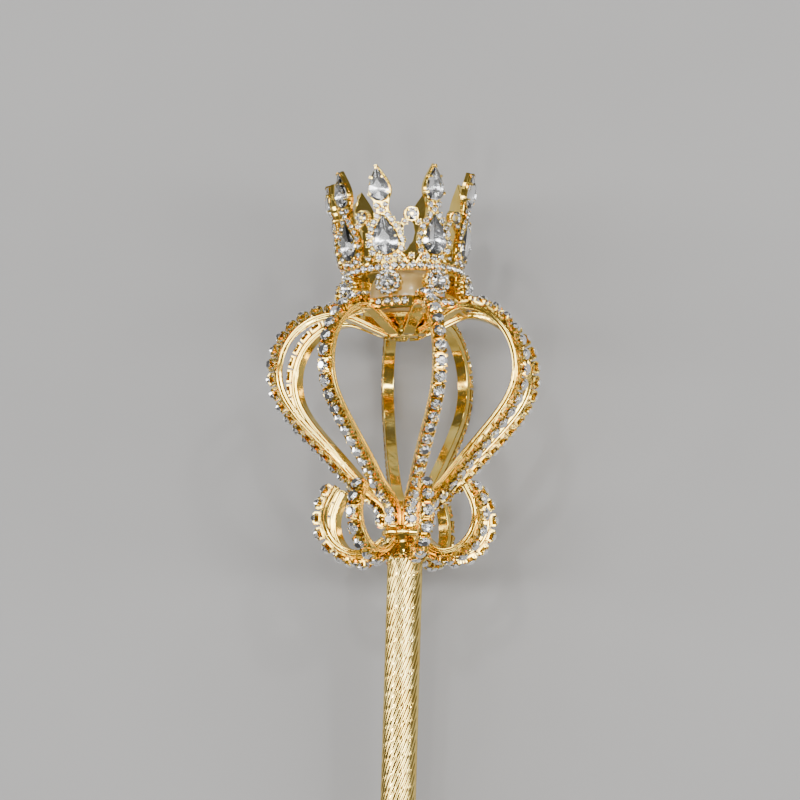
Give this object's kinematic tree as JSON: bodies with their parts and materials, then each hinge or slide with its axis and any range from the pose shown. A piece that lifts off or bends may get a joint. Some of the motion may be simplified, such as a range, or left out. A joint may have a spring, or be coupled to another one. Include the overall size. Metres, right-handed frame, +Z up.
{
  "type": "sceptre",
  "caption": "Costume sceptre with a plain textured shaft, an onion-shaped cage of stone-set bars, open scrolls and a small pointed crown round a pearl.",
  "frame": {"origin": "middle of the lying sceptre's footprint, on the surface that it lies on", "axes": "+Y along the sceptre towards its crown, +Z up from the surface, +X to the right of someone looking down with the crown away from them"},
  "size_m": [0.0766, 0.45, 0.0742],
  "materials": {
    "gold": "polished warm gold plating",
    "pale_gold": "bright champagne gold plating over a fluted tube",
    "stone_chain": "round clear rhinestones with foil backs in gold cups",
    "clear_stone": "faceted clear pear-cut stones",
    "pearl": "soft pearl lustre"
  },
  "bodies": {
    "root": {"shaft": "pale_gold", "tail_knob": "gold", "neck_collar": "gold", "crown_hub": "gold", "pearl": "pearl", "crown_frame": "gold", "cage_bar_1": "gold", "cage_chain_1": "stone_chain", "scroll_bar_1": "gold", "scroll_chain_1": "stone_chain", "crown_pear_stone_1": "clear_stone", "crown_tip_stone_1": "clear_stone", "cage_bar_2": "gold", "cage_chain_2": "stone_chain", "scroll_bar_2": "gold", "scroll_chain_2": "stone_chain", "crown_pear_stone_2": "clear_stone", "crown_tip_stone_2": "clear_stone", "cage_bar_3": "gold", "cage_chain_3": "stone_chain", "scroll_bar_3": "gold", "scroll_chain_3": "stone_chain", "crown_pear_stone_3": "clear_stone", "crown_tip_stone_3": "clear_stone", "cage_bar_4": "gold", "cage_chain_4": "stone_chain", "scroll_bar_4": "gold", "scroll_chain_4": "stone_chain", "crown_pear_stone_4": "clear_stone", "crown_tip_stone_4": "clear_stone", "cage_bar_5": "gold", "cage_chain_5": "stone_chain", "scroll_bar_5": "gold", "scroll_chain_5": "stone_chain", "crown_pear_stone_5": "clear_stone", "crown_tip_stone_5": "clear_stone", "cage_bar_6": "gold", "cage_chain_6": "stone_chain", "scroll_bar_6": "gold", "scroll_chain_6": "stone_chain", "crown_pear_stone_6": "clear_stone", "crown_tip_stone_6": "clear_stone", "cage_bar_7": "gold", "cage_chain_7": "stone_chain", "scroll_bar_7": "gold", "scroll_chain_7": "stone_chain", "crown_pear_stone_7": "clear_stone", "crown_tip_stone_7": "clear_stone", "cage_bar_8": "gold", "cage_chain_8": "stone_chain", "scroll_bar_8": "gold", "scroll_chain_8": "stone_chain", "crown_pear_stone_8": "clear_stone", "crown_tip_stone_8": "clear_stone"}
  },
  "joints": []
}
